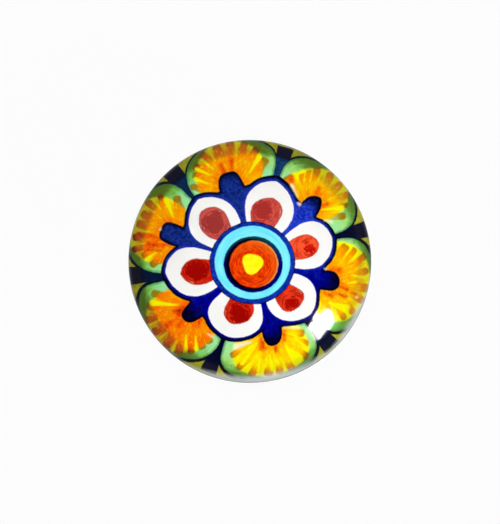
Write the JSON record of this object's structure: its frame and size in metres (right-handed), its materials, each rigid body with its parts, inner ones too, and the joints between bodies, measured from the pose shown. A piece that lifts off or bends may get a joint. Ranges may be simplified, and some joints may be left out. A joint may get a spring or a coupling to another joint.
{
  "type": "cabinet knob",
  "caption": "Round glazed ceramic cabinet knob with a painted flower on its domed face, a waisted stem and a threaded insert for a screw from behind.",
  "frame": {"origin": "centre of the seat, where the foot meets the door", "axes": "+Z along the knob's axis, out of the door through the middle of the domed face; +Y is up in the picture"},
  "size_m": [0.038, 0.038, 0.027],
  "materials": {
    "painted_glaze": "white tin glaze, painted in blue, yellow, orange, green, red and turquoise over the dome, glossy; bare fired clay at the seat",
    "insert_brass": "turned and knurled, dull"
  },
  "bodies": {
    "root": {"glazed_body": "painted_glaze", "threaded_insert": "insert_brass"}
  },
  "joints": []
}
